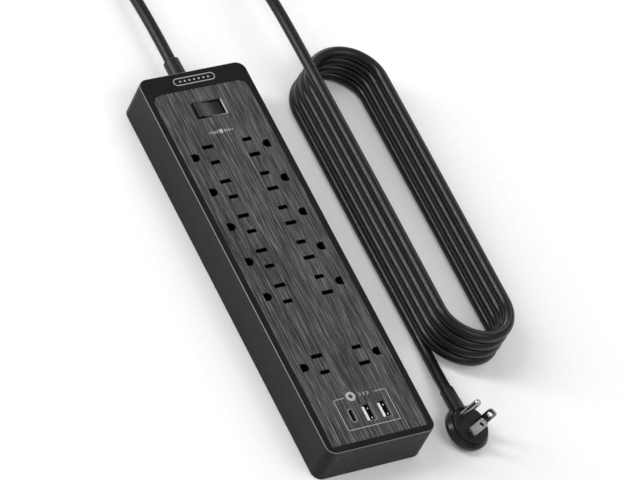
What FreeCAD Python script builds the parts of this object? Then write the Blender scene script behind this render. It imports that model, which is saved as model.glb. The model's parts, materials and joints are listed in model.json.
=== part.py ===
import FreeCAD, Part
import math
import os
import re
import Sketcher

# A twelve-outlet power strip with three USB ports, a rocker switch and a corded
# flat plug. Origin: bottom centre of the strip's housing. +X is to the right,
# +Y runs towards the end that the cord leaves, +Z is up. Millimetres.

SIZES = {
    "body_width": 82.4, "body_length": 304.4, "body_top": 31.4, "body_radius": 7.0,
    "foot_height": 0.6, "foot_radius": 5.0, "foot_across": 30.0, "foot_along": 132.0,
    "wall": 2.4, "edge_round": 0.9, "ledge_depth": 2.4,
    "ledge_under": 1.6, "ledge_width": 2.0,
    "panel_width": 72.8, "panel_length": 284.75, "panel_shift": -4.675, "panel_back_radius": 7.0,
    "panel_thickness": 2.2, "panel_gap": 0.15, "plate_gap": 0.15, "plate_thickness": 2.4,
    "row_first": 84.75, "row_pitch": 28.5, "slot_across": 15.2, "slot_apart": 6.35,
    "slot_width": 3.0, "slot_long": 8.4, "slot_short": 7.0,
    "ground_across": 27.3, "ground_width": 5.6, "ground_height": 6.2,
    "block_width": 33.0, "block_length": 28.2, "block_height": 17.0, "block_across": 17.5,
    "bus_width": 2.6, "bus_thickness": 0.8, "bus_level": 8.4, "bus_shift": 1.9, "leaf_height": 11.0,
    "leaf_thickness": 0.4, "leaf_apart": 1.7, "ground_leaf_apart": 4.9, "ground_bus_shift": 0.9,
    "bus_overhang": 14.0, "carrier_thickness": 2.0, "carrier_half": 34.0, "carrier_slack": 0.3,
    "hole_slack": 0.2, "boss_slack": 0.8,
    "switch_along": 120.4, "switch_opening_x": 22.2, "switch_opening_y": 12.5, "switch_bevel": 0.8,
    "rocker_radius": 11.15, "rocker_corner": 25.0, "rocker_dip": 0.8, "rocker_below": 4.0,
    "rocker_width": 11.7, "rocker_round": 0.35, "rocker_tilt": 9.4, "pivot_level": 26.2, "pivot_radius": 1.5,
    "pivot_reach": 1.5, "pivot_clearance": 0.05,
    "switch_case_x": 26.0, "switch_case_y": 16.0, "switch_case_floor": 12.0, "switch_cavity_x": 23.4,
    "switch_cavity_y": 12.3, "switch_floor": 1.4,
    "plunger_radius": 1.4, "plunger_reach": 9.4, "bridge_length": 17.0, "bridge_width": 4.6,
    "bridge_thickness": 0.8, "bridge_level": 15.7, "bridge_tilt": 6.0, "terminal_across": 7.5,
    "terminal_width": 4.0, "terminal_thickness": 0.8, "terminal_slack": 0.1, "terminal_below": 6.0,
    "pivot_gap": 0.3, "contact_radius": 1.5, "contact_height": 0.6, "contact_gap": 1.3,
    "usb_along": -128.0, "usb_a_x": 6.6, "usb_a_y": 13.4, "usb_c_x": 3.4, "usb_c_y": 9.7,
    "usb_pitch": 12.0, "usb_gap": 0.1, "usb_shell": 0.4, "usb_top": 30.7, "usb_depth": 14.0,
    "usb_tongue_x": 2.0, "usb_tongue_y": 10.6, "usb_tongue_shift": 1.3,
    "usb_c_tongue_x": 0.8, "usb_c_tongue_y": 6.6, "tongue_below": 1.0,
    "rib_width": 2.0, "rib_length": 196.0, "rib_across": 22.5, "post_radius": 2.0, "post_across": 25.0,
    "post_back": 15.0, "post_front": -17.0, "surge_level": 9.6, "surge_post_along": 8.0,
    "surge_board_x": 8.5, "surge_board_y": 24.0, "varistor_x": 7.0, "varistor_y": 4.0,
    "varistor_z": 10.0, "varistor_pitch": 8.0, "usb_board_x": 56.0, "usb_board_y": 34.0,
    "usb_board_shift": 1.0, "under_board": 9.0, "transformer_x": 13.0, "transformer_y": 12.0,
    "transformer_across": -14.0, "can_radius": 3.6,
    "board_thickness": 1.6, "boss_radius": 3.5, "boss_across": 33.6, "boss_back": 143.4,
    "boss_front": -144.0, "boss_middle": -57.6, "screw_radius": 1.4, "screw_length": 14.0,
    "screw_head_radius": 2.9, "screw_head_height": 1.4, "pilot_radius": 1.5,
    "keyhole_along": 100.0, "keyhole_slot_radius": 2.2, "keyhole_head_radius": 4.4,
    "keyhole_travel": 7.5,
    "wire_diameter": 2.4, "cord_diameter": 8.0, "cord_level": 15.7, "relief_radius": 5.6,
    "relief_wide": 6.0, "relief_length": 20.1, "relief_bevel": 1.0,
    "relief_neck": 4.5, "relief_flange": 7.0, "relief_flange_thickness": 2.6, "relief_clearance": 0.2,
    "hank_radius": 27.4, "hank_across": 106.7, "hank_lean": 1.15, "hank_top": 118.9,
    "hank_bottom": -70.9, "hank_bottom_lean": 0.6, "strand_round": 2.6,
    "channel_length": 60.0, "channel_side": 3.0, "channel_rise": 0.8,
    "plug_turn": 30.9, "plug_pitch": 7.5, "plug_roll": 12.9, "plug_x": 73.8, "plug_y": -138.2,
    "plug_z": 14.1, "plug_radius": 16.3, "plug_height": 8.5, "plug_centre_x": 1.3,
    "plug_centre_y": -8.6, "plug_face_radius": 13.8, "plug_face_height": 2.2, "plug_shoulder": 2.0,
    "plug_bottom_round": 1.8, "blade_width": 6.35, "blade_thickness": 1.5, "blade_length": 17.5,
    "blade_apart": 12.7, "blade_offset": 11.9, "blade_hole": 2.0, "blade_hole_from_tip": 4.0,
    "blade_bevel": 1.0,
    "pin_radius": 2.4, "pin_length": 20.5, "plug_relief_radius": 4.85, "plug_relief_wide": 5.2,
    "plug_relief_overlap": 3.0,
}

ROW_STEPS = [0, 1, 2, 3, 4, 6]
SIDES = {"left": -1, "right": 1}

# Centre line of the cord from the strip's strain relief to the hank, and from
# the hank to the plug's strain relief.
LEAD_ROUTE = [
    (0.0, 172.3, 15.7), (0.0, 226.0, 15.7), (-3.0, 281.0, 5.4), (14.0, 304.5, 4.0),
    (42.0, 314.0, 4.0), (69.5, 304.0, 4.6), (86.5, 280.5, 7.8), (85.6, 237.0, 23.4),
    (83.9, 196.0, 34.4), (83.8, 157.0, 36.0), (83.8, 119.5, 36.0),
]
TAIL_ROUTE = [
    (79.2, -69.0, 4.0), (79.2, -85.0, 4.0), (77.15, -100.0, 6.384), (76.4, -115.0, 8.4),
]
PLUG_RELIEF_END = (75.6, -131.0, 10.55)
# Inner wires: cord to switch, switch to line bar, cord to neutral and ground bars.
WIRE_ROUTES = {
    "line_wire": [
        (-2.5, 147.2, 15.7), (-2.5, 138.0, 15.7), (-5.5, 131.0, 10.5), (-7.5, 126.5, 8.0),
        (-7.5, 122.4, 8.0),
    ],
    "switched_wire": [
        (0.0, 118.4, 8.0), (0.0, 112.0, 8.0), (-7.0, 106.5, 8.5), (-13.3, 103.5, 8.8),
        (-13.3, 98.2, 8.8),
    ],
    "neutral_wire": [
        (2.5, 147.2, 15.7), (2.5, 138.0, 15.7), (14.5, 126.0, 9.2), (16.5, 112.0, 8.8),
        (13.3, 104.5, 8.8), (13.3, 98.2, 8.8),
    ],
    "ground_wire": [
        (0.0, 147.2, 12.0), (0.0, 139.0, 12.0), (20.0, 127.0, 8.8), (28.2, 112.0, 8.8),
        (28.2, 98.2, 8.8),
    ],
}
# Across, and along from the USB ports.
CAPACITOR_PLACES = [("6.0", "-8.0"), ("16.0", "6.0")]
FULL_TURNS = 4
LEAD_TOP_STRAND_SWEEP = 60.0
RUN_SHARE = 0.45

document = FreeCAD.newDocument("power_strip")
sheet = document.addObject("Spreadsheet::Sheet", "sizes")
for line, (alias, number) in enumerate(SIZES.items(), start=1):
    sheet.set("A%d" % line, alias)
    sheet.set("B%d" % line, str(number))
    sheet.setAlias("B%d" % line, alias)
document.recompute()

nodes = []


def sheet_expression(text):
    """Turn alias words in a formula into references to the sheet."""
    return re.sub(r"[a-z][a-z_]*", lambda word: "sizes." + word.group(0), text)


def value(text):
    """The number that a formula of aliases gives now."""
    return float(sheet.evalExpression(sheet_expression(str(text))))


def bind(item, **formulas):
    """Bind properties such as Length or Placement__Base__x to formulas."""
    for name, text in formulas.items():
        item.setExpression(name.replace("__", "."), sheet_expression(str(text)))
    return item


def keep(item, label):
    """Give a finished sub-part its label and put it on the export list."""
    item.Label = label
    nodes.append(item)
    return item


# ---------------------------------------------------------------- sketch helpers


def new_body(name):
    return document.addObject("PartDesign::Body", name)


def sketch_at(body, name, level="0", across="0", along="0", turned=0):
    """A sketch parallel to the body's XY plane at a height, place and turn."""
    sketch = body.newObject("Sketcher::SketchObject", name)
    planes = [item for item in body.Origin.OriginFeatures if item.Role == "XY_Plane"]
    sketch.AttachmentSupport = [(planes[0], "")]
    sketch.MapMode = "FlatFace"
    sketch.AttachmentOffset = FreeCAD.Placement(
        FreeCAD.Vector(0, 0, 0), FreeCAD.Rotation(turned, 0, 0)
    )
    bind(
        sketch,
        AttachmentOffset__Base__x=across,
        AttachmentOffset__Base__y=along,
        AttachmentOffset__Base__z=level,
    )
    return sketch


def upright_sketch(body, name, along="0"):
    """A sketch in the body's XZ plane, moved along Y."""
    sketch = body.newObject("Sketcher::SketchObject", name)
    planes = [item for item in body.Origin.OriginFeatures if item.Role == "XZ_Plane"]
    sketch.AttachmentSupport = [(planes[0], "")]
    sketch.MapMode = "FlatFace"
    bind(sketch, AttachmentOffset__Base__z="0 - (%s)" % along)
    return sketch


def dimension(sketch, kind, *places, size):
    """Add one dimension to a sketch and bind it to a formula."""
    index = sketch.addConstraint(Sketcher.Constraint(kind, *places, value(size)))
    sketch.setExpression("Constraints[%d]" % index, sheet_expression(str(size)))


def add_rectangle(sketch, width, length, across="0", along="0"):
    """A rectangle round a centre, with its four sizes bound to the sheet."""
    half_x, half_y = value(width) / 2, value(length) / 2
    centre_x, centre_y = value(across), value(along)
    corners = [
        FreeCAD.Vector(centre_x + sign_x * half_x, centre_y + sign_y * half_y, 0)
        for sign_x, sign_y in ((-1, -1), (1, -1), (1, 1), (-1, 1))
    ]
    first = sketch.GeometryCount
    for number in range(4):
        sketch.addGeometry(Part.LineSegment(corners[number], corners[(number + 1) % 4]), False)
    for number in range(4):
        follower = first + (number + 1) % 4
        sketch.addConstraint(Sketcher.Constraint("Coincident", first + number, 2, follower, 1))
        kind = "Horizontal" if number % 2 == 0 else "Vertical"
        sketch.addConstraint(Sketcher.Constraint(kind, first + number))
    dimension(sketch, "DistanceX", first, 1, first, 2, size=width)
    dimension(sketch, "DistanceY", first + 1, 1, first + 1, 2, size=length)
    dimension(sketch, "DistanceX", -1, 1, first, 1, size="(%s) - (%s) / 2" % (across, width))
    dimension(sketch, "DistanceY", -1, 1, first, 1, size="(%s) - (%s) / 2" % (along, length))


def add_circle(sketch, radius, across="0", along="0"):
    """A circle with its radius and centre bound to the sheet."""
    centre = FreeCAD.Vector(value(across), value(along), 0)
    index = sketch.addGeometry(Part.Circle(centre, FreeCAD.Vector(0, 0, 1), value(radius)), False)
    dimension(sketch, "Radius", index, size=radius)
    dimension(sketch, "DistanceX", -1, 1, index, 3, size=across)
    dimension(sketch, "DistanceY", -1, 1, index, 3, size=along)


def add_ground_hole(sketch):
    """The D of a ground hole: flat on the outer side, round towards the slots."""
    radius = value("ground_height") / 2
    flat = -value("ground_across") - value("ground_width") / 2
    centre = FreeCAD.Vector(flat + value("ground_width") - radius, 0, 0)
    top = FreeCAD.Vector(flat, radius, 0)
    bottom = FreeCAD.Vector(flat, -radius, 0)
    circle = Part.Circle(centre, FreeCAD.Vector(0, 0, 1), radius)
    arc = sketch.addGeometry(Part.ArcOfCircle(circle, -math.pi / 2, math.pi / 2), False)
    upper = FreeCAD.Vector(centre.x, radius, 0)
    lower = FreeCAD.Vector(centre.x, -radius, 0)
    for start, end in ((upper, top), (top, bottom), (bottom, lower)):
        sketch.addGeometry(Part.LineSegment(start, end), False)
    for number in range(4):
        following = arc + (number + 1) % 4
        kind = "Tangent" if arc in (arc + number, following) else "Coincident"
        sketch.addConstraint(Sketcher.Constraint(kind, arc + number, 2, following, 1))
    sketch.addConstraint(Sketcher.Constraint("Horizontal", arc + 1))
    sketch.addConstraint(Sketcher.Constraint("Vertical", arc + 2))
    sketch.addConstraint(Sketcher.Constraint("Horizontal", arc + 3))
    dimension(sketch, "Radius", arc, size="ground_height / 2")
    flat_place = "0 - ground_across - ground_width / 2"
    dimension(sketch, "DistanceX", -1, 1, arc + 2, 1, size=flat_place)
    centre_place = flat_place + " + ground_width - ground_height / 2"
    dimension(sketch, "DistanceX", -1, 1, arc, 3, size=centre_place)
    dimension(sketch, "DistanceY", -1, 1, arc, 3, size="0")


def pad(body, sketch, length, upward=True):
    """Grow the sketch into the body."""
    feature = body.newObject("PartDesign::Pad", sketch.Name + "_pad")
    feature.Profile = sketch
    feature.Reversed = not upward
    bind(feature, Length=length)
    document.recompute()
    return feature


def pocket(body, sketch, length, upward=False):
    """Cut the sketch out of the body, downwards unless told otherwise."""
    before = body.Shape.Volume
    feature = body.newObject("PartDesign::Pocket", sketch.Name + "_pocket")
    feature.Profile = sketch
    feature.Reversed = upward
    bind(feature, Length=length)
    document.recompute()
    if body.Shape.Volume >= before - 1e-6:
        raise RuntimeError(sketch.Name + " cuts nothing")
    return feature


def edges_where(shape, test):
    """Names of the edges whose middle point and direction pass the test."""
    names = []
    for number, edge in enumerate(shape.Edges, start=1):
        if test(edge):
            names.append("Edge%d" % number)
    return names


def is_upright(edge, corner_x, corner_y, slack=0.01):
    """True for a vertical edge that stands at plus or minus the given corner."""
    box = edge.BoundBox
    on_x = abs(abs(box.Center.x) - corner_x) < slack
    return on_x and abs(box.Center.y - corner_y) < slack and box.ZLength > slack


def is_level(edge, height, slack=0.01):
    box = edge.BoundBox
    return abs(box.ZMin - height) < slack and abs(box.ZMax - height) < slack


def fillet(body, edges, radius):
    base = body.Tip
    feature = body.newObject("PartDesign::Fillet", body.Name + "_fillet")
    feature.Base = (base, edges)
    bind(feature, Radius=radius)
    document.recompute()
    return feature


def chamfer(body, edges, size):
    base = body.Tip
    feature = body.newObject("PartDesign::Chamfer", body.Name + "_chamfer")
    feature.Base = (base, edges)
    bind(feature, Size=size)
    document.recompute()
    return feature


def round_corners(body, width, length, shift, radius):
    """Round the four upright corners of a slab."""
    corner_x = value(width) / 2
    for sign in (-1, 1):
        corner_y = value(shift) + sign * value(length) / 2
        edges = edges_where(body.Shape, lambda edge: is_upright(edge, corner_x, corner_y))
        fillet(body, edges, radius)


# ---------------------------------------------------------------- solid helpers


def add_box(name, size_x, size_y, size_z, across="0", along="0", level="0"):
    """A box centred on across and along, standing on level, bound to the sheet."""
    box = document.addObject("Part::Box", name)
    return bind(
        box,
        Length=size_x,
        Width=size_y,
        Height=size_z,
        Placement__Base__x="(%s) - (%s) / 2" % (across, size_x),
        Placement__Base__y="(%s) - (%s) / 2" % (along, size_y),
        Placement__Base__z=level,
    )


def add_cylinder(name, radius, height, across="0", along="0", level="0"):
    """An upright cylinder standing on level, bound to the sheet."""
    cylinder = document.addObject("Part::Cylinder", name)
    return bind(
        cylinder,
        Radius=radius,
        Height=height,
        Placement__Base__x=across,
        Placement__Base__y=along,
        Placement__Base__z=level,
    )


def add_rod_along_y(name, radius, length, start, level, across="0"):
    """A cylinder lying along +Y from its start, bound to the sheet."""
    rod = document.addObject("Part::Cylinder", name)
    rod.Placement.Rotation = FreeCAD.Rotation(FreeCAD.Vector(1, 0, 0), -90)
    return bind(
        rod,
        Radius=radius,
        Height=length,
        Placement__Base__x=across,
        Placement__Base__y=start,
        Placement__Base__z=level,
    )


def fuse(name, items):
    joined = document.addObject("Part::MultiFuse", name)
    joined.Shapes = items
    document.recompute()
    return joined


def group(name, items):
    """Separate solids that share one node."""
    together = document.addObject("Part::Compound", name)
    together.Links = items
    document.recompute()
    return together


def cut(name, base, tool):
    remainder = document.addObject("Part::Cut", name)
    remainder.Base = base
    remainder.Tool = tool
    document.recompute()
    return remainder


# ---------------------------------------------------------------- housing


def row_formula(step):
    return "row_first - %d * row_pitch" % step


def boss_places():
    return [
        ("%s * boss_across" % sign, along)
        for along in ("boss_back", "boss_middle", "boss_front")
        for sign in ("-1", "1")
    ]


def make_top_cover():
    """Walls and bezel in one moulding, with a window and a ledge for the panel."""
    body = new_body("cover_body")
    outline = sketch_at(body, "cover_outline", level="foot_height")
    add_rectangle(outline, "body_width", "body_length")
    pad(body, outline, "body_top - foot_height")
    round_corners(body, "body_width", "body_length", "0", "body_radius")
    top_edges = edges_where(body.Shape, lambda edge: is_level(edge, value("body_top")))
    fillet(body, top_edges, "edge_round")

    cavity = sketch_at(body, "cover_cavity", level="foot_height")
    add_rectangle(cavity, "body_width - 2 * wall", "body_length - 2 * wall")
    ceiling = "body_top - ledge_depth - ledge_under"
    pocket(body, cavity, ceiling + " - foot_height", upward=True)

    window = sketch_at(body, "cover_window", level="body_top")
    window_size = ("panel_width + 2 * panel_gap", "panel_length + 2 * panel_gap")
    add_rectangle(window, *window_size, along="panel_shift")
    pocket(body, window, "ledge_depth")
    through = sketch_at(body, "cover_through", level="body_top")
    add_rectangle(
        through,
        "panel_width - 2 * ledge_width",
        "panel_length - 2 * ledge_width",
        along="panel_shift",
    )
    pocket(body, through, "ledge_depth + ledge_under + 1")
    window_y = value("panel_shift + panel_length / 2 + panel_gap")
    window_x = value("panel_width / 2 + panel_gap")
    corners = edges_where(body.Shape, lambda edge: is_upright(edge, window_x, window_y))
    fillet(body, corners, "panel_back_radius + panel_gap")

    for number, (across, along) in enumerate(boss_places()):
        boss = sketch_at(body, "boss_%d" % number, level="foot_height + plate_thickness")
        add_circle(boss, "boss_radius", across, along)
        pad(body, boss, "body_top - ledge_depth - foot_height - plate_thickness")
        pilot = sketch_at(body, "pilot_%d" % number, level="foot_height + plate_thickness")
        add_circle(pilot, "pilot_radius", across, along)
        pocket(body, pilot, "screw_length", upward=True)

    gland = upright_sketch(body, "gland_hole", along="body_length / 2 + 1")
    add_circle(gland, "relief_neck + relief_clearance", "0", "cord_level")
    pocket(body, gland, "wall + 2", upward=True)
    return keep(body, "top_cover")


def add_socket_holes(body, name, step, side, level, depth):
    """Two blade slots and the ground hole of one outlet."""
    turned = 0 if side < 0 else 180
    sketch = sketch_at(body, name, level=level, along=row_formula(step), turned=turned)
    add_rectangle(sketch, "slot_long", "slot_width", "0 - slot_across", "slot_apart")
    add_rectangle(sketch, "slot_short", "slot_width", "0 - slot_across", "0 - slot_apart")
    add_ground_hole(sketch)
    pocket(body, sketch, depth)


def make_face_panel():
    """The flat face with every outlet, USB and switch opening cut in it."""
    body = new_body("panel_body")
    outline = sketch_at(body, "panel_outline", level="body_top - ledge_depth")
    add_rectangle(outline, "panel_width", "panel_length", along="panel_shift")
    pad(body, outline, "panel_thickness")
    corner_y = value("panel_shift + panel_length / 2")
    corner_x = value("panel_width / 2")
    corners = edges_where(body.Shape, lambda edge: is_upright(edge, corner_x, corner_y))
    fillet(body, corners, "panel_back_radius")
    top = "body_top - ledge_depth + panel_thickness"
    through = "panel_thickness + 1"
    opening = sketch_at(body, "switch_opening", level=top, along="switch_along")
    add_rectangle(opening, "switch_opening_x", "switch_opening_y")
    pocket(body, opening, through)
    reach_x = value("switch_opening_x / 2") + 0.01
    reach_y = value("switch_opening_y / 2") + 0.01
    rim = edges_where(body.Shape, lambda edge: is_opening_rim(edge, reach_x, reach_y, value(top)))
    chamfer(body, rim, "switch_bevel")
    for place, (size_x, size_y) in usb_places().items():
        port = sketch_at(body, "port_" + place, level=top, along="usb_along")
        add_rectangle(port, size_x, size_y, usb_across(place))
        pocket(body, port, through)
    for side_name, side in SIDES.items():
        for step in ROW_STEPS:
            name = "face_%s_%d" % (side_name, step)
            add_socket_holes(body, name, step, side, top, through)
    return keep(body, "face_panel")


def is_opening_rim(edge, reach_x, reach_y, height):
    """True for the upper edges of the switch opening."""
    centre = edge.BoundBox.Center
    inside = abs(centre.x) < reach_x and abs(centre.y - value("switch_along")) < reach_y
    return inside and is_level(edge, height)


def make_base_plate():
    """The plate that closes the housing from below, with two keyholes.

    Two long ribs hold the outlet blocks up against the panel, and posts carry the boards.
    """
    body = new_body("plate_body")
    width = "body_width - 2 * wall - 2 * plate_gap"
    length = "body_length - 2 * wall - 2 * plate_gap"
    outline = sketch_at(body, "plate_outline", level="foot_height")
    add_rectangle(outline, width, length)
    pad(body, outline, "plate_thickness")
    for sign in ("-1", "1"):
        hole = sketch_at(body, "keyhole_%s" % sign.replace("-", "m"), level="foot_height")
        add_keyhole(hole, "%s * keyhole_along" % sign)
        pocket(body, hole, "plate_thickness + 1", upward=True)
    for number, (across, along) in enumerate(boss_places()):
        seat = sketch_at(body, "seat_%d" % number, level="foot_height")
        add_circle(seat, "screw_head_radius + plate_gap", across, along)
        pocket(body, seat, "screw_head_height", upward=True)
        passage = sketch_at(body, "passage_%d" % number, level="foot_height")
        add_circle(passage, "pilot_radius", across, along)
        pocket(body, passage, "plate_thickness + 1", upward=True)
    floor = "foot_height + plate_thickness"
    ribs = sketch_at(body, "plate_ribs", level=floor)
    for sign in ("-1", "1"):
        add_rectangle(ribs, "rib_width", "rib_length", "%s * rib_across" % sign)
    pad(body, ribs, "body_top - ledge_depth - block_height - foot_height - plate_thickness")
    usb_posts = sketch_at(body, "usb_posts", level=floor)
    for sign_x in (-1, 1):
        for along in ("usb_along + post_front", "usb_along + post_back"):
            add_circle(usb_posts, "post_radius", "%d * post_across" % sign_x, along)
    pad(body, usb_posts, "usb_top - usb_depth - board_thickness - foot_height - plate_thickness")
    surge_posts = sketch_at(body, "surge_posts", level=floor)
    for sign in (-1, 1):
        along = "boss_middle + %d * surge_post_along" % sign
        add_circle(surge_posts, "post_radius", "0", along)
    pad(body, surge_posts, "surge_level - foot_height - plate_thickness")
    return keep(body, "base_plate")


def add_keyhole(sketch, along):
    """Slot of a keyhole as one straight-sided outline ending in two arcs."""
    slot = value("keyhole_slot_radius")
    head = value("keyhole_head_radius")
    centre_y = value(along)
    head_y = centre_y - value("keyhole_travel")
    join = math.asin(slot / head)
    up = FreeCAD.Vector(0, 0, 1)
    slot_circle = Part.Circle(FreeCAD.Vector(0, centre_y, 0), up, slot)
    head_circle = Part.Circle(FreeCAD.Vector(0, head_y, 0), up, head)
    join_y = head_y + head * math.cos(join)
    first = sketch.GeometryCount
    sketch.addGeometry(Part.ArcOfCircle(slot_circle, 0, math.pi), False)
    left = (FreeCAD.Vector(-slot, centre_y, 0), FreeCAD.Vector(-slot, join_y, 0))
    right = (FreeCAD.Vector(slot, join_y, 0), FreeCAD.Vector(slot, centre_y, 0))
    sketch.addGeometry(Part.LineSegment(*left), False)
    start = math.pi / 2 + join
    sketch.addGeometry(Part.ArcOfCircle(head_circle, start, start + 2 * (math.pi - join)), False)
    sketch.addGeometry(Part.LineSegment(*right), False)
    for number in range(4):
        following = first + (number + 1) % 4
        sketch.addConstraint(Sketcher.Constraint("Coincident", first + number, 2, following, 1))
    sketch.addConstraint(Sketcher.Constraint("Vertical", first + 1))
    sketch.addConstraint(Sketcher.Constraint("Vertical", first + 3))
    dimension(sketch, "Radius", first, size="keyhole_slot_radius")
    dimension(sketch, "Radius", first + 2, size="keyhole_head_radius")
    dimension(sketch, "DistanceY", -1, 1, first, 3, size=along)
    dimension(sketch, "DistanceX", -1, 1, first, 3, size="0")


def make_feet():
    """Four thin round pads under the corners."""
    signs = [(sign_x, sign_y) for sign_x in (-1, 1) for sign_y in (-1, 1)]
    feet = [
        add_cylinder(
            "foot_%d" % number,
            "foot_radius",
            "foot_height",
            "%d * foot_across" % sign_x,
            "%d * foot_along" % sign_y,
        )
        for number, (sign_x, sign_y) in enumerate(signs)
    ]
    return keep(group("feet", feet), "rubber_feet")


def make_screws():
    """Six identical screws from below, head and shank turned as one."""
    screws = []
    for number, (across, along) in enumerate(boss_places()):
        head = add_cylinder(
            "head_%d" % number, "screw_head_radius", "screw_head_height", across, along, "foot_height"
        )
        shank = add_cylinder(
            "shank_%d" % number, "screw_radius", "screw_length", across, along, "foot_height"
        )
        screws.append(fuse("screw_%d" % number, [head, shank]))
    return keep(group("screws", screws), "housing_screws")


# ---------------------------------------------------------------- outlets


def make_socket_blocks():
    """One moulded block behind each outlet, open for the blades and the ground pin."""
    for side_name, side in SIDES.items():
        for number, step in enumerate(ROW_STEPS, start=1):
            name = "socket_%s_%d" % (side_name, number)
            body = new_body(name)
            bottom = "body_top - ledge_depth - block_height"
            outline = sketch_at(body, name + "_outline", level=bottom, along=row_formula(step))
            add_rectangle(outline, "block_width", "block_length", "%d * block_across" % side)
            pad(body, outline, "block_height")
            top = "body_top - ledge_depth"
            add_socket_holes(body, name + "_holes", step, side, top, "block_height + 1")
            keep(body, name)


def make_bus_bar(name, across, apart, leaf_gap):
    """A flat strip under one column with a pair of spring leaves in every outlet."""
    length = "6 * row_pitch + 2 * slot_apart + bus_overhang"
    middle = "row_first - 3 * row_pitch"
    items = [add_box(name + "_strip", "bus_width", length, "bus_thickness", across, middle, "bus_level")]
    for step in ROW_STEPS:
        for leaf in (-1, 1):
            leaf_name = "%s_leaf_%d_%d" % (name, step, leaf + 1)
            shift = "%s + (%s) + %d * (%s + leaf_thickness) / 2"
            along = shift % (row_formula(step), apart, leaf, leaf_gap)
            size = ("bus_width", "leaf_thickness", "leaf_height")
            items.append(add_box(leaf_name, *size, across, along, "bus_level + bus_thickness"))
    return keep(fuse(name + "_bar", items), name)


def make_bus_bars():
    """Line, neutral and ground bars for both columns of outlets."""
    for side_name, side in SIDES.items():
        centre = "%d * slot_across" % side
        line_apart = "%d * slot_apart" % side
        neutral_apart = "%d * slot_apart" % -side
        make_bus_bar("line_bar_" + side_name, centre + " + bus_shift", line_apart, "leaf_apart")
        make_bus_bar("neutral_bar_" + side_name, centre + " - bus_shift", neutral_apart, "leaf_apart")
        ground_x = "%d * (ground_across + ground_bus_shift)" % side
        make_bus_bar("ground_bar_" + side_name, ground_x, "0", "ground_leaf_apart")


# ---------------------------------------------------------------- carriers


def make_carrier(name, back, front, openings):
    """A plate across the housing behind the panel, with square openings."""
    body = new_body(name + "_body")
    level = "body_top - ledge_depth - carrier_thickness"
    outline = sketch_at(body, name + "_outline", level=level)
    middle = "((%s) + (%s)) / 2" % (back, front)
    add_rectangle(outline, "2 * carrier_half", "(%s) - (%s)" % (back, front), along=middle)
    pad(body, outline, "carrier_thickness")
    for number, (size_x, size_y, across, along) in enumerate(openings):
        opening = sketch_at(body, "%s_opening_%d" % (name, number), level="body_top - ledge_depth")
        add_rectangle(opening, size_x, size_y, across, along)
        pocket(body, opening, "carrier_thickness + 1")
    return keep(body, name)


def boss_notches(along):
    size = "2 * boss_radius + boss_slack"
    return [(size, size, "%d * boss_across" % sign, along) for sign in (-1, 1)]


def make_carriers():
    """Three plates fill the panel's back where there is no outlet block."""
    block_half = "block_length / 2"
    gap = "(row_pitch - block_length)"
    case_size = ("switch_case_x + hole_slack", "switch_case_y + hole_slack")
    switch_hole = (*case_size, "0", "switch_along")
    make_carrier(
        "switch_carrier",
        "panel_shift + panel_length / 2 - ledge_width - carrier_slack",
        "%s + %s + %s" % (row_formula(0), block_half, gap),
        [switch_hole],
    )
    make_carrier(
        "middle_carrier",
        "%s - %s - %s" % (row_formula(4), block_half, gap),
        "%s + %s + %s" % (row_formula(6), block_half, gap),
        boss_notches("boss_middle"),
    )
    ports = [
        (size_x + " + hole_slack", size_y + " + hole_slack", usb_across(place), "usb_along")
        for place, (size_x, size_y) in usb_places().items()
    ]
    make_carrier(
        "usb_carrier",
        "%s - %s - %s" % (row_formula(6), block_half, gap),
        "panel_shift - panel_length / 2 + ledge_width + carrier_slack",
        ports + boss_notches("boss_front"),
    )


# ---------------------------------------------------------------- switch


def tilt_about_pivot(item, degrees, level):
    """Turn a finished piece about the switch's pivot line, which runs along Y."""
    pivot = FreeCAD.Vector(0, value("switch_along"), value(level))
    turn = FreeCAD.Rotation(FreeCAD.Vector(0, 1, 0), degrees)
    item.Placement = FreeCAD.Placement(pivot, turn)
    document.recompute()


def make_switch_case():
    """Open-topped case with a pivot bore in each long wall."""
    height = "body_top - ledge_depth - switch_case_floor"
    outer = add_box(
        "case_outer", "switch_case_x", "switch_case_y", height, "0", "switch_along", "switch_case_floor"
    )
    cavity = add_box(
        "case_cavity",
        "switch_cavity_x",
        "switch_cavity_y",
        height,
        "0",
        "switch_along",
        "switch_case_floor + switch_floor",
    )
    bore = add_rod_along_y(
        "case_bore",
        "pivot_radius + pivot_clearance",
        "switch_case_y - 1",
        "switch_along - switch_case_y / 2 + 0.5",
        "pivot_level",
    )
    slots = [
        add_box(
            "terminal_slot_%d" % number,
            "terminal_thickness",
            "terminal_width",
            "switch_floor + 1",
            across,
            "switch_along",
            "switch_case_floor - 0.5",
        )
        for number, across in enumerate(("0", "0 - terminal_across"))
    ]
    return keep(cut("switch_case", outer, fuse("case_tools", [cavity, bore] + slots)), "switch_case")


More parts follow.
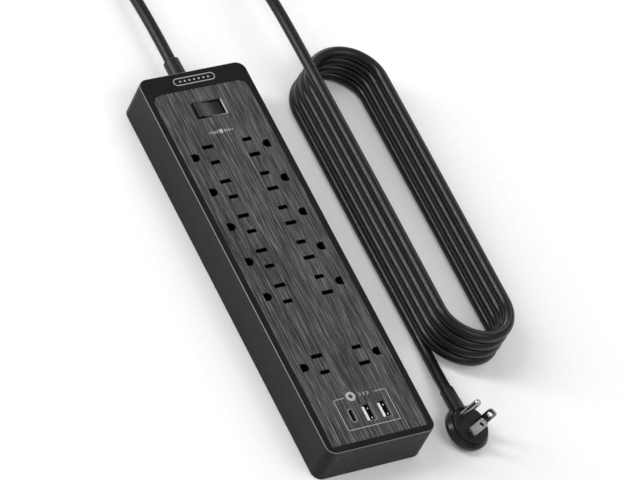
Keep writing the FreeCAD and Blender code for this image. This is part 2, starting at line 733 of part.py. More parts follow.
def make_rocker():
    """Rocker with a hollow top, round ends and two pivot stubs, tilted to its on side."""
    radius = value("rocker_radius")
    corner = math.radians(value("rocker_corner"))
    below = value("rocker_below")
    corner_x = radius * math.cos(corner)
    corner_z = radius * math.sin(corner)
    half_width = value("rocker_width") / 2
    low_x = math.sqrt(radius ** 2 - below ** 2)

    def point(x, z):
        return FreeCAD.Vector(x, -half_width, z)

    ends = {"right": (point(corner_x, corner_z), point(radius, 0), point(low_x, -below))}
    ends["left"] = (point(-low_x, -below), point(-radius, 0), point(-corner_x, corner_z))
    dip = point(0, corner_z - value("rocker_dip"))
    edges = [
        Part.Arc(ends["left"][2], dip, ends["right"][0]).toShape(),
        Part.Arc(*ends["right"]).toShape(),
        Part.LineSegment(ends["right"][2], ends["left"][0]).toShape(),
        Part.Arc(*ends["left"]).toShape(),
    ]
    block = Part.Face(Part.Wire(edges)).extrude(FreeCAD.Vector(0, 2 * half_width, 0))
    reach = value("rocker_width / 2 + pivot_reach")
    start = FreeCAD.Vector(0, -reach, 0)
    stub = Part.makeCylinder(value("pivot_radius"), 2 * reach, start, FreeCAD.Vector(0, 1, 0))
    solid = block.fuse(stub).removeSplitter()
    long_edges = [edge for edge in solid.Edges if is_rocker_top_edge(edge, corner_z)]
    rocker = document.addObject("Part::Feature", "rocker")
    rocker.Shape = solid.makeFillet(value("rocker_round"), long_edges)
    tilt_about_pivot(rocker, value("rocker_tilt"), "pivot_level")
    return keep(rocker, "rocker_button")


def is_rocker_top_edge(edge, corner_z, slack=0.01):
    """True for the edges that run round the rocker's hollow top."""
    box = edge.BoundBox
    low = corner_z - value("rocker_dip") - slack
    return box.ZMin > low and box.ZMax < corner_z + slack


def make_plunger():
    """Spring plunger that hangs under the rocker and drives the contact bridge."""
    start = -value("rocker_below")
    length = value("plunger_reach - rocker_below - plunger_radius")
    radius = value("plunger_radius")
    stem = Part.makeCylinder(radius, length, FreeCAD.Vector(0, 0, start - length))
    tip = Part.makeSphere(radius, FreeCAD.Vector(0, 0, start - length))
    plunger = document.addObject("Part::Feature", "plunger")
    plunger.Shape = stem.fuse(tip).removeSplitter()
    tilt_about_pivot(plunger, value("rocker_tilt"), "pivot_level")
    return keep(plunger, "switch_plunger")


def make_bridge():
    """Rocking contact bridge: a strip with a rivet contact at one end."""
    length, width = value("bridge_length"), value("bridge_width")
    thickness = value("bridge_thickness")
    strip = Part.makeBox(length, width, thickness, FreeCAD.Vector(-length / 2, -width / 2, 0))
    height = value("contact_height")
    contact_place = FreeCAD.Vector(-value("terminal_across"), 0, -height)
    contact = Part.makeCylinder(value("contact_radius"), height, contact_place)
    bridge = document.addObject("Part::Feature", "bridge")
    bridge.Shape = strip.fuse(contact).removeSplitter()
    tilt_about_pivot(bridge, -value("bridge_tilt"), "bridge_level")
    return keep(bridge, "contact_bridge")


def make_switch_terminals():
    """Two upright tabs through the case floor; the bridge rocks on the middle one."""
    floor = value("switch_case_floor")
    along = value("switch_along")
    tab_size = (
        value("terminal_thickness - terminal_slack"),
        value("terminal_width - terminal_slack"),
    )
    swing = value("terminal_across") * math.sin(math.radians(value("bridge_tilt")))
    tops = {
        "0": value("bridge_level - pivot_gap"),
        "1": value("bridge_level - contact_gap") - swing,
    }
    places = {"0": 0.0, "1": -value("terminal_across")}
    tabs = []
    for key, across in places.items():
        tab = document.addObject("Part::Feature", "tab_" + key)
        low = floor - value("terminal_below")
        corner = FreeCAD.Vector(-tab_size[0] / 2, -tab_size[1] / 2, 0)
        tab.Shape = Part.makeBox(*tab_size, tops[key] - low, corner)
        tab.Placement = FreeCAD.Placement(FreeCAD.Vector(across, along, low), FreeCAD.Rotation())
        tabs.append(tab)
    return keep(group("terminals", tabs), "switch_terminals")


# ---------------------------------------------------------------- USB ports


def usb_places():
    return {
        "c": ("usb_c_x", "usb_c_y"),
        "a_middle": ("usb_a_x", "usb_a_y"),
        "a_right": ("usb_a_x", "usb_a_y"),
    }


def usb_across(place):
    return {"c": "0 - usb_pitch", "a_middle": "0", "a_right": "usb_pitch"}[place]


def make_usb_ports():
    """Folded shells with their tongues, standing on the USB board."""
    bottom = "usb_top - usb_depth"
    for place, (size_x, size_y) in usb_places().items():
        across = usb_across(place)
        outer_x = "(%s) - 2 * usb_gap" % size_x
        outer_y = "(%s) - 2 * usb_gap" % size_y
        name = "usb_" + place
        outer = add_box(name + "_outer", outer_x, outer_y, "usb_depth", across, "usb_along", bottom)
        inner = add_box(
            name + "_inner",
            "%s - 2 * usb_shell" % outer_x,
            "%s - 2 * usb_shell" % outer_y,
            "usb_depth",
            across,
            "usb_along",
            bottom + " + usb_shell",
        )
        keep(cut(name + "_shell", outer, inner), name + "_shell")
        tongue_x = "usb_c_tongue_x" if place == "c" else "usb_tongue_x"
        tongue_y = "usb_c_tongue_y" if place == "c" else "usb_tongue_y"
        shift = "0" if place == "c" else "usb_tongue_shift"
        tongue = add_box(
            name + "_tongue",
            tongue_x,
            tongue_y,
            "usb_depth - usb_shell - tongue_below",
            "%s - %s" % (across, shift),
            "usb_along",
            bottom + " + usb_shell",
        )
        keep(tongue, name + "_tongue")


# ---------------------------------------------------------------- electronics


def make_electronics():
    """Surge board in the space between the outlets, USB supply board at the front."""
    surge_size = ("surge_board_x", "surge_board_y", "board_thickness")
    surge = add_box("surge_board", *surge_size, "0", "boss_middle", "surge_level")
    keep(surge, "surge_board")
    above = "surge_level + board_thickness"
    disc_size = ("varistor_x", "varistor_y", "varistor_z")
    discs = [
        add_box("disc_%d" % step, *disc_size, "0", "boss_middle + %d * varistor_pitch" % (step - 1), above)
        for step in range(3)
    ]
    keep(group("varistor_discs", discs), "varistors")
    usb_level = "usb_top - usb_depth - board_thickness"
    usb_size = ("usb_board_x", "usb_board_y", "board_thickness")
    board = add_box("usb_supply", *usb_size, "0", "usb_along + usb_board_shift", usb_level)
    keep(board, "usb_board")
    under = usb_level + " - under_board"
    core_size = ("transformer_x", "transformer_y", "under_board")
    core = add_box("core", *core_size, "transformer_across", "usb_along", under)
    keep(core, "usb_transformer")
    cans = [
        add_cylinder("can_%d" % number, "can_radius", "under_board", across, "usb_along + %s" % along, under)
        for number, (across, along) in enumerate(CAPACITOR_PLACES)
    ]
    keep(group("cans", cans), "usb_capacitors")


# ---------------------------------------------------------------- cord


def tube_path(points):
    """Straight runs joined by arcs that are as large as the runs allow."""
    vectors = [FreeCAD.Vector(*point) for point in points]
    edges, radii = [], []
    start = vectors[0]
    for before, corner, after in zip(vectors, vectors[1:], vectors[2:]):
        inward = (corner - before).normalize()
        outward = (after - corner).normalize()
        half_turn = inward.getAngle(outward) / 2
        setback = RUN_SHARE * min((corner - before).Length, (after - corner).Length)
        radius = setback / math.tan(half_turn)
        radii.append(radius)
        first = corner - inward * setback
        last = corner + outward * setback
        bisector = (outward - inward).normalize()
        middle = corner + bisector * (radius / math.cos(half_turn) - radius)
        edges.append(Part.LineSegment(start, first).toShape())
        edges.append(Part.Arc(first, middle, last).toShape())
        start = last
    edges.append(Part.LineSegment(start, vectors[-1]).toShape())
    return Part.Wire(edges), radii


def make_tube(name, points, diameter, label):
    """A round tube along a route, with its radii printed and its volume checked."""
    path, radii = tube_path(points)
    heading = FreeCAD.Vector(*points[1]) - FreeCAD.Vector(*points[0])
    ring = Part.Circle(FreeCAD.Vector(*points[0]), heading, diameter / 2)
    solid = path.makePipeShell([Part.Wire([ring.toShape()])], True, False)
    section = math.pi * diameter ** 2 / 4
    print(label, "length %.1f" % path.Length, "radii", ["%.0f" % radius for radius in radii])
    print(label, "volume ratio %.4f" % (solid.Volume / (section * path.Length)))
    tube = document.addObject("Part::Feature", name)
    tube.Shape = solid
    return keep(tube, label)


def make_strip_relief():
    """Strain relief: tapered outer sleeve, neck through the wall and inner flange."""
    back = value("body_length / 2")
    forward = FreeCAD.Vector(0, 1, 0)

    def turned(radius, start, end):
        place = FreeCAD.Vector(0, start, value("cord_level"))
        return Part.makeCylinder(radius, end - start, place, forward)

    end = back + value("relief_length")
    root = FreeCAD.Vector(0, back, value("cord_level"))
    taper = (value("relief_wide"), value("relief_radius"), value("relief_length"))
    sleeve = Part.makeCone(*taper, root, forward)
    outer_rims = [edge for edge in sleeve.Edges if abs(edge.BoundBox.YMin - end) < 0.01]
    rims = [edge for edge in outer_rims if edge.BoundBox.YLength < 0.01]
    sleeve = sleeve.makeChamfer(value("relief_bevel"), rims)
    neck = turned(value("relief_neck"), back - value("wall"), back)
    inner = back - value("wall")
    flange = turned(value("relief_flange"), inner - value("relief_flange_thickness"), inner)
    relief = document.addObject("Part::Feature", "strip_relief")
    relief.Shape = sleeve.fuse([neck, flange]).removeSplitter()
    return keep(relief, "cord_strain_relief")


def stadium(radius, top, bottom, height):
    """A block with straight sides and half-round ends, standing on z = 0."""
    def point(x, y):
        return FreeCAD.Vector(x, y, 0)

    edges = [
        Part.Arc(point(radius, top), point(0, top + radius), point(-radius, top)).toShape(),
        Part.LineSegment(point(-radius, top), point(-radius, bottom)).toShape(),
        Part.Arc(point(-radius, bottom), point(0, bottom - radius), point(radius, bottom)).toShape(),
        Part.LineSegment(point(radius, bottom), point(radius, top)).toShape(),
    ]
    return Part.Face(Part.Wire(edges)).extrude(FreeCAD.Vector(0, 0, height))


def hank_layer(layer):
    """One flat turn of the hank as a ring with rounded edges."""
    half = value("cord_diameter") / 2
    radius, top = value("hank_radius"), value("hank_top")
    bottom = value("hank_bottom") + layer * value("hank_bottom_lean")
    ring = stadium(radius + half, top, bottom, 2 * half)
    ring = ring.cut(stadium(radius - half, top, bottom, 2 * half))
    level_edges = [edge for edge in ring.Edges if edge.BoundBox.ZLength < 0.01]
    ring = ring.makeFillet(value("strand_round"), level_edges)
    ring.translate(layer_shift(layer))
    return ring


def layer_shift(layer):
    across = value("hank_across") + layer * value("hank_lean")
    return FreeCAD.Vector(across, 0, layer * value("cord_diameter"))


def make_hank():
    """Four stacked turns and the fifth strand that lies on the left leg."""
    layers = [hank_layer(layer) for layer in range(FULL_TURNS)]
    half = value("cord_diameter") / 2
    top_ring = hank_layer(FULL_TURNS)
    shift = layer_shift(FULL_TURNS)
    end_y = LEAD_ROUTE[-1][1]
    bottom = value("hank_bottom") + FULL_TURNS * value("hank_bottom_lean")
    leg_corner = FreeCAD.Vector(shift.x - value("hank_radius") - half - 1, bottom, shift.z)
    leg_window = Part.makeBox(2 * half + 2, end_y - bottom, 2 * half, leg_corner)
    centre = FreeCAD.Vector(shift.x, bottom, shift.z)
    reach = value("hank_radius") + 2 * half
    pie = Part.makeCylinder(reach, 2 * half, centre, FreeCAD.Vector(0, 0, 1), LEAD_TOP_STRAND_SWEEP)
    pie.rotate(centre, FreeCAD.Vector(0, 0, 1), 180)
    strand = top_ring.common(leg_window.fuse(pie))
    hank = layers[0].fuse(layers[1:] + [strand]).removeSplitter()
    tail_start = TAIL_ROUTE[0][1]
    channel_length, side = value("channel_length"), value("channel_side")
    channel_corner = FreeCAD.Vector(TAIL_ROUTE[0][0] - half - side, tail_start - channel_length, 0)
    channel_height = 2 * half + value("channel_rise")
    channel = Part.makeBox(2 * half + side + 1, channel_length, channel_height, channel_corner)
    piece = document.addObject("Part::Feature", "hank")
    piece.Shape = hank.cut(channel).removeSplitter()
    return keep(piece, "cord_hank")


# ---------------------------------------------------------------- plug


def plug_placement():
    place = FreeCAD.Vector(value("plug_x"), value("plug_y"), value("plug_z"))
    turn = FreeCAD.Rotation(value("plug_turn"), value("plug_pitch"), value("plug_roll"))
    return FreeCAD.Placement(place, turn)


def make_plug_body():
    """Flat round body of the plug, with a sloping shoulder under its face."""
    body = new_body("plug_disc")
    outline = sketch_at(body, "plug_outline", level="0 - plug_height")
    add_circle(outline, "plug_radius", "plug_centre_x", "plug_centre_y")
    pad(body, outline, "plug_height - plug_face_height")
    shoulder_level = -value("plug_face_height")
    upper = edges_where(body.Shape, lambda edge: is_level(edge, shoulder_level))
    chamfer(body, upper, "plug_shoulder")
    lower = edges_where(body.Shape, lambda edge: is_level(edge, -value("plug_height")))
    fillet(body, lower, "plug_bottom_round")
    body.Placement = plug_placement()
    document.recompute()
    return keep(body, "plug_body")


def make_plug_face():
    """Face plate of the plug with openings for the blades and the ground pin."""
    body = new_body("plug_face_disc")
    outline = sketch_at(body, "plug_face_outline", level="0 - plug_face_height")
    add_circle(outline, "plug_face_radius", "plug_centre_x", "plug_centre_y")
    pad(body, outline, "plug_face_height")
    upper = edges_where(body.Shape, lambda edge: is_level(edge, 0.0))
    chamfer(body, upper, "plug_face_height / 3")
    passages = sketch_at(body, "plug_passages")
    for sign in ("-1", "1"):
        across = "%s * blade_apart / 2" % sign
        add_rectangle(passages, "blade_thickness", "blade_width", across, "0 - blade_offset")
    add_circle(passages, "pin_radius", "0", "0")
    pocket(body, passages, "plug_face_height + 1")
    body.Placement = plug_placement()
    document.recompute()
    return keep(body, "plug_face")


def make_blades():
    """Two flat blades with a hole near the tip."""
    root = -value("plug_face_height")
    width, thickness = value("blade_width"), value("blade_thickness")
    length = value("blade_length")
    blades = []
    for sign in (-1, 1):
        middle_x = sign * value("blade_apart") / 2
        corner = FreeCAD.Vector(middle_x - thickness / 2, -value("blade_offset") - width / 2, root)
        blade = Part.makeBox(thickness, width, length - root, corner)
        tip_edges = [edge for edge in blade.Edges if is_blade_tip(edge, length, width)]
        blade = blade.makeChamfer(value("blade_bevel"), tip_edges)
        hole_place = FreeCAD.Vector(
            middle_x - thickness, -value("blade_offset"), length - value("blade_hole_from_tip")
        )
        hole = Part.makeCylinder(value("blade_hole"), 2 * thickness, hole_place, FreeCAD.Vector(1, 0, 0))
        feature = document.addObject("Part::Feature", "blade_%d" % (sign + 1))
        feature.Shape = blade.cut(hole)
        feature.Placement = plug_placement()
        blades.append(feature)
    return keep(group("blades", blades), "plug_blades")


def is_blade_tip(edge, length, width):
    """True for the two short edges across the blade's thickness at the tip."""
    box = edge.BoundBox
    return is_level(edge, length) and box.YLength < width / 2


def make_ground_pin():
    radius = value("pin_radius")
    root = -value("plug_face_height")
    straight = value("pin_length") - radius
    shank = Part.makeCylinder(radius, straight - root, FreeCAD.Vector(0, 0, root))
    tip = Part.makeSphere(radius, FreeCAD.Vector(0, 0, straight))
    pin = document.addObject("Part::Feature", "ground_pin")
    pin.Shape = shank.fuse(tip).removeSplitter()
    pin.Placement = plug_placement()
    return keep(pin, "plug_ground_pin")


def make_plug_relief(plug_body, plug_face):
    """Tapered sleeve between the cord and the plug, shaped to the plug's side."""
    start = FreeCAD.Vector(*TAIL_ROUTE[-1])
    end = FreeCAD.Vector(*PLUG_RELIEF_END)
    heading = (end - start).normalize()
    length = (end - start).Length + value("plug_relief_overlap")
    narrow, wide = value("plug_relief_radius"), value("plug_relief_wide")
    sleeve = Part.makeCone(narrow, wide, length, start, heading)
    relief = document.addObject("Part::Feature", "plug_relief")
    relief.Shape = sleeve.cut([plug_body.Shape, plug_face.Shape])
    return keep(relief, "plug_strain_relief")


# ---------------------------------------------------------------- build and export


def check_and_export():
    """Stop on any failed object or bad shape, then write one file per sub-part."""
    document.recompute()
    for item in document.Objects:
        if "Invalid" in item.State or "Error" in item.State:
            raise RuntimeError("%s failed: %s" % (item.Label, item.State))
    os.makedirs("parts", exist_ok=True)
    for item in nodes:
        shape = item.Shape
        if shape.isNull() or not shape.isValid():
            raise RuntimeError(item.Label + " has a bad shape")
        shape.exportStep("parts/%s.step" % item.Label)
        print("%-22s solids %2d volume %10.1f" % (item.Label, len(shape.Solids), shape.Volume))
    print(len(nodes), "sub-parts")


make_top_cover()
make_face_panel()
make_base_plate()
make_feet()
make_screws()
make_socket_blocks()
make_bus_bars()
make_carriers()
make_switch_case()
make_rocker()
make_plunger()
make_bridge()
make_switch_terminals()
make_usb_ports()
make_electronics()
for wire_name, wire_route in WIRE_ROUTES.items():
    make_tube(wire_name + "_tube", wire_route, value("wire_diameter"), wire_name)
make_strip_relief()
make_tube("lead", LEAD_ROUTE, value("cord_diameter"), "cord_lead")
make_hank()
make_tube("tail", TAIL_ROUTE, value("cord_diameter"), "cord_tail")
plug_disc = make_plug_body()
plug_front = make_plug_face()
make_blades()
make_ground_pin()
make_plug_relief(plug_disc, plug_front)
check_and_export()
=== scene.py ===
"""Looks of a twelve-outlet power strip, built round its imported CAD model. Metres, row frame."""

import json
import math

import bmesh
import bpy
from mathutils import Matrix, Vector


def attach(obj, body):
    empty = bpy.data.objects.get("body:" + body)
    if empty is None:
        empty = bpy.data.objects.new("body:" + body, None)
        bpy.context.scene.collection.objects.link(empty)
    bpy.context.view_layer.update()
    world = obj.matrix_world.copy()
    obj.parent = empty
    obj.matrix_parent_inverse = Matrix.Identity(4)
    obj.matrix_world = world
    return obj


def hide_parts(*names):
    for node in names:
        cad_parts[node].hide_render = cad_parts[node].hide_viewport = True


MM = 0.001
CORD_DIAMETER = 8.0 * MM
PANEL_TOP = 31.2 * MM
BEZEL_TOP = 31.4 * MM
PRINT_THICKNESS = 0.06 * MM
# Places on the strip, in millimetres: how far along it the switch and the USB ports sit,
# how far apart the ports are, and the level of the thin added sheets of painted highlight, just above the
# panel.
SWITCH_ALONG = 120.4
USB_ALONG = -128.0
USB_PITCH = 12.0
SHEET_LEVEL = PANEL_TOP / MM + 0.04
# A mix node's sockets for each kind of value: both inputs, then the result.
MIX_SOCKETS = {"FLOAT": (2, 3, 0), "RGBA": (6, 7, 2)}

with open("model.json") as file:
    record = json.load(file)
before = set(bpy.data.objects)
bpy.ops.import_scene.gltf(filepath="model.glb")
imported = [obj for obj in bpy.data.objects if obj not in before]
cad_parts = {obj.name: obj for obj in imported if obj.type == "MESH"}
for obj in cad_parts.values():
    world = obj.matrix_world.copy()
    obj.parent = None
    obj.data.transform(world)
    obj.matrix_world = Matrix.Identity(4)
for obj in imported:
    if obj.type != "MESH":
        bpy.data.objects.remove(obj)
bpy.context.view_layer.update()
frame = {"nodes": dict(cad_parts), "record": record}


# ---------------------------------------------------------------- camera and light

# The photograph's view: a long lens from the front left, rolled to the right.
CAMERA_PLACE = (-1.55765, -1.36570, 2.47329)
CAMERA_RIGHT = (0.84974, -0.42272, 0.31503)
CAMERA_UP = (0.18672, 0.80014, 0.57001)
CAMERA_FORWARD = (0.49303, 0.42554, -0.75884)
CAMERA_LENS = 274.4


def add_camera():
    data = bpy.data.cameras.new("camera")
    data.lens = CAMERA_LENS
    data.sensor_width = 36.0
    data.clip_end = 20.0
    camera = bpy.data.objects.new("camera", data)
    bpy.context.scene.collection.objects.link(camera)
    axes = Matrix((CAMERA_RIGHT, CAMERA_UP, [-part for part in CAMERA_FORWARD])).transposed()
    camera.matrix_world = Matrix.Translation(CAMERA_PLACE) @ axes.to_4x4()
    bpy.context.scene.camera = camera


def add_softbox(name, place, aim, size, power):
    """A rectangular area light that faces a point."""
    data = bpy.data.lights.new(name, "AREA")
    data.shape = "RECTANGLE"
    data.size, data.size_y = size
    data.energy = power
    light = bpy.data.objects.new(name, data)
    bpy.context.scene.collection.objects.link(light)
    light.location = place
    light.rotation_euler = (Vector(aim) - Vector(place)).to_track_quat("-Z", "Y").to_euler()


def add_studio():
    world = bpy.data.worlds.new("studio")
    world.use_nodes = True
    background = world.node_tree.nodes["Background"]
    background.inputs["Color"].default_value = (1.0, 1.0, 1.0, 1.0)
    background.inputs["Strength"].default_value = 0.5
    bpy.context.scene.world = world
    bpy.context.scene.view_settings.view_transform = "Standard"
    centre = (0.03, 0.0, 0.0)
    add_softbox("key", (-1.55, 0.9, 1.35), centre, (0.5, 2.4), 38.0)
    add_softbox("back", (0.25, 2.1, 0.6), centre, (1.8, 0.3), 14.0)
    add_softbox("fill", (0.6, -1.3, 2.2), centre, (1.8, 1.4), 20.0)
    add_softbox("side", (1.65, 0.95, 1.15), centre, (0.5, 0.5), 3.0)


# ---------------------------------------------------------------- materials


class Finish:
    """A material whose colour, roughness and bump come from textures in object space."""

    def __init__(self, name, **constants):
        self.slot = name
        self.material = bpy.data.materials.new(name + "_finish")
        self.material.use_nodes = True
        self.tree = self.material.node_tree
        self.shader = self.tree.nodes["Principled BSDF"]
        for socket, number in constants.items():
            self.shader.inputs[socket.replace("_", " ")].default_value = number
        coordinates = self.tree.nodes.new("ShaderNodeTexCoord")
        self.place = coordinates.outputs["Object"]
        self.facing = coordinates.outputs["Normal"]
        self.normal = None

    def join(self, output, node, socket):
        self.tree.links.new(output, node.inputs[socket])

    def stretched(self, scale):
        """Object coordinates, in metres, scaled along each axis."""
        mapping = self.tree.nodes.new("ShaderNodeMapping")
        mapping.inputs["Scale"].default_value = scale
        self.join(self.place, mapping, "Vector")
        return mapping.outputs["Vector"]

    def noise(self, scale, detail=3.0, stretch=(1.0, 1.0, 1.0), rough=0.5):
        node = self.tree.nodes.new("ShaderNodeTexNoise")
        node.inputs["Scale"].default_value = scale
        node.inputs["Detail"].default_value = detail
        node.inputs["Roughness"].default_value = rough
        self.join(self.stretched(stretch), node, "Vector")
        return node.outputs["Fac"]

    def cells(self, scale):
        node = self.tree.nodes.new("ShaderNodeTexVoronoi")
        node.inputs["Scale"].default_value = scale
        self.join(self.place, node, "Vector")
        return node.outputs["Distance"]

    def remap(self, factor, low, high, start, end):
        """Spread a factor's values from low..high over start..end."""
        node = self.tree.nodes.new("ShaderNodeMapRange")
        for socket, number in (("From Min", low), ("From Max", high), ("To Min", start), ("To Max", end)):
            node.inputs[socket].default_value = number
        self.join(factor, node, "Value")
        return node.outputs["Result"]

    def combine(self, operation, first, second):
        node = self.tree.nodes.new("ShaderNodeMath")
        node.operation = operation
        self.tree.links.new(first, node.inputs[0])
        if isinstance(second, float):
            node.inputs[1].default_value = second
        else:
            self.tree.links.new(second, node.inputs[1])
        return node.outputs["Value"]

    def colour(self, factor, stops):
        """Base colour from a texture, through a ramp of (position, (r, g, b)) stops."""
        node = self.tree.nodes.new("ShaderNodeValToRGB")
        ramp = node.color_ramp
        while len(ramp.elements) < len(stops):
            ramp.elements.new(0.5)
        for element, (position, shade) in zip(ramp.elements, stops):
            element.position = position
            element.color = (*shade, 1.0)
        self.join(factor, node, "Fac")
        self.join(node.outputs["Color"], self.shader, "Base Color")

    def roughness(self, factor, start, end):
        self.join(self.remap(factor, 0.3, 0.7, start, end), self.shader, "Roughness")

    def upward(self):
        """How far a face points up: 1 on a level top, 0 on an upright wall."""
        split = self.tree.nodes.new("ShaderNodeSeparateXYZ")
        self.join(self.facing, split, "Vector")
        return split.outputs["Z"]

    def top_rounds(self):
        """1 on the rounds that lead up to a level top, 0 elsewhere."""
        upward = self.upward()
        above_wall = self.remap(upward, 0.25, 0.5, 0.0, 1.0)
        below_top = self.remap(upward, 0.97, 0.85, 0.0, 1.0)
        return self.combine("MULTIPLY", above_wall, below_top)

    def walls(self):
        """1 on upright faces, 0 on level ones."""
        return self.remap(self.upward(), 0.7, 0.4, 0.0, 1.0)

    def blend(self, mask, shade, rough):
        """Blend the colour and the roughness towards others where the mask is 1."""
        for socket, kind, target in (("Base Color", "RGBA", (*shade, 1.0)), ("Roughness", "FLOAT", rough)):
            mix = self.tree.nodes.new("ShaderNodeMix")
            mix.data_type = kind
            before, after, result = MIX_SOCKETS[kind]
            self.join(mask, mix, "Factor")
            self.tree.links.new(self.shader.inputs[socket].links[0].from_socket, mix.inputs[before])
            mix.inputs[after].default_value = target
            self.join(mix.outputs[result], self.shader, socket)

    def bump(self, height, strength, depth):
        """Add a layer of relief; depth is in metres."""
        node = self.tree.nodes.new("ShaderNodeBump")
        node.inputs["Strength"].default_value = strength
        node.inputs["Distance"].default_value = depth
        self.join(height, node, "Height")
        if self.normal is not None:
            self.join(self.normal, node, "Normal")
        self.normal = node.outputs["Normal"]
        self.join(self.normal, self.shader, "Normal")


def grey(level, warmth=0.0):
    return (level * (1.0 + warmth), level, level * (1.0 - warmth))


def moulded_plastic(name, level, rough, specular=0.4):
    """Moulded plastic: faint clouding, fine spark grain and uneven gloss."""
    finish = Finish(name, Specular_IOR_Level=specular, IOR=1.5)
    clouds = finish.noise(90.0, detail=5.0)
    finish.colour(clouds, [(0.35, grey(level * 0.82)), (0.65, grey(level * 1.2))])
    finish.roughness(finish.noise(260.0, detail=4.0), *rough)
    finish.bump(finish.cells(2600.0), 0.25, 0.00006)
    finish.bump(finish.noise(700.0, detail=4.0), 0.15, 0.00005)
    return finish


def housing_plastic():
    """The housing's satin plastic; the rounds along its top are lighter and glossier: a painted highlight.
    """
    finish = moulded_plastic("housing_black", 0.0065, rough=(0.28, 0.4), specular=0.13)
    # Painted highlight: the rounds along the top get a light grey colour for the glint they catch, and a
    # lower roughness.
    finish.blend(finish.top_rounds(), grey(0.16), 0.22)
    return finish


def brushed_panel():
    """Dark panel with hairlines along the strip, and plain dark walls inside its openings."""
    finish = Finish("brushed_panel", Metallic=0.25, Specular_IOR_Level=0.2, IOR=1.5)
    hair = finish.noise(1.0, detail=2.0, stretch=(4200.0, 75.0, 300.0), rough=0.55)
    long_hair = finish.noise(1.0, detail=2.0, stretch=(2600.0, 24.0, 300.0), rough=0.55)
    streak = finish.combine("MULTIPLY", finish.combine("ADD", hair, long_hair), 0.5)
    finish.colour(
        streak,
        [(0.36, grey(0.008)), (0.45, grey(0.026)), (0.54, grey(0.075)), (0.66, grey(0.24))],
    )
    finish.roughness(hair, 0.36, 0.5)
    finish.bump(streak, 0.45, 0.00010)
    finish.blend(finish.walls(), grey(0.002), 0.6)
    return finish


def polished_metal(name, shade, rough=(0.2, 0.34)):
    """Stamped or turned metal with a fine grain and slight tarnish."""
    finish = Finish(name, Metallic=1.0)
    tarnish = finish.noise(300.0, detail=5.0)
    worn = tuple(part * 0.7 for part in shade)
    finish.colour(tarnish, [(0.3, worn), (0.55, shade)])
    grain = finish.noise(900.0, detail=4.0)
    finish.roughness(grain, *rough)
    finish.bump(grain, 0.3, 0.00003)
    return finish


def cord_jacket(name, level):
    """Extruded PVC jacket: satin, with faint clouding and uneven gloss."""
    finish = Finish(name, Specular_IOR_Level=0.26, IOR=1.5, Coat_Weight=0.04, Coat_Roughness=0.2)
    clouds = finish.noise(120.0, detail=5.0)
    finish.colour(clouds, [(0.3, grey(level * 0.8)), (0.7, grey(level * 1.25))])
    finish.roughness(finish.noise(340.0, detail=4.0), 0.26, 0.38)
    finish.bump(finish.noise(1500.0, detail=4.0), 0.18, 0.00005)
    return finish


def rubber(name, level):
    """Matt rubber with a fine cellular grain."""
    finish = Finish(name, Specular_IOR_Level=0.3, Sheen_Weight=0.1, Sheen_Roughness=0.5)
    finish.colour(finish.noise(250.0), [(0.3, grey(level * 0.8)), (0.7, grey(level * 1.2))])
    finish.roughness(finish.noise(500.0), 0.6, 0.75)
    finish.bump(finish.cells(2200.0), 0.4, 0.00008)
    return finish


def coloured(name, dark, light, rough=(0.4, 0.55), **constants):
    """A plain coloured part with mottling and a fine grain."""
    finish = Finish(name, **constants)
    finish.colour(finish.noise(240.0, detail=4.0), [(0.35, dark), (0.65, light)])
    finish.roughness(finish.noise(420.0), *rough)
    finish.bump(finish.noise(1800.0), 0.25, 0.00005)
    return finish


def gloss_rocker():
    """The rocker's smooth black plastic, the glossiest on the strip."""
    finish = Finish("rocker_gloss", Specular_IOR_Level=0.19, Coat_Weight=0.05, Coat_Roughness=0.15)
    finish.colour(finish.noise(160.0), [(0.3, grey(0.006)), (0.7, grey(0.010))])
    finish.roughness(finish.noise(500.0), 0.2, 0.3)
    finish.bump(finish.noise(900.0), 0.08, 0.00003)
    return finish


def printing_ink():
    """Light grey pad-printed ink, matt and faintly mottled."""
    finish = Finish("print_ink", Specular_IOR_Level=0.3)
    finish.colour(finish.noise(1600.0, detail=4.0), [(0.3, grey(0.26)), (0.6, grey(0.40))])
    finish.roughness(finish.noise(900.0), 0.5, 0.65)
    finish.bump(finish.noise(2400.0), 0.3, 0.00003)
    return finish


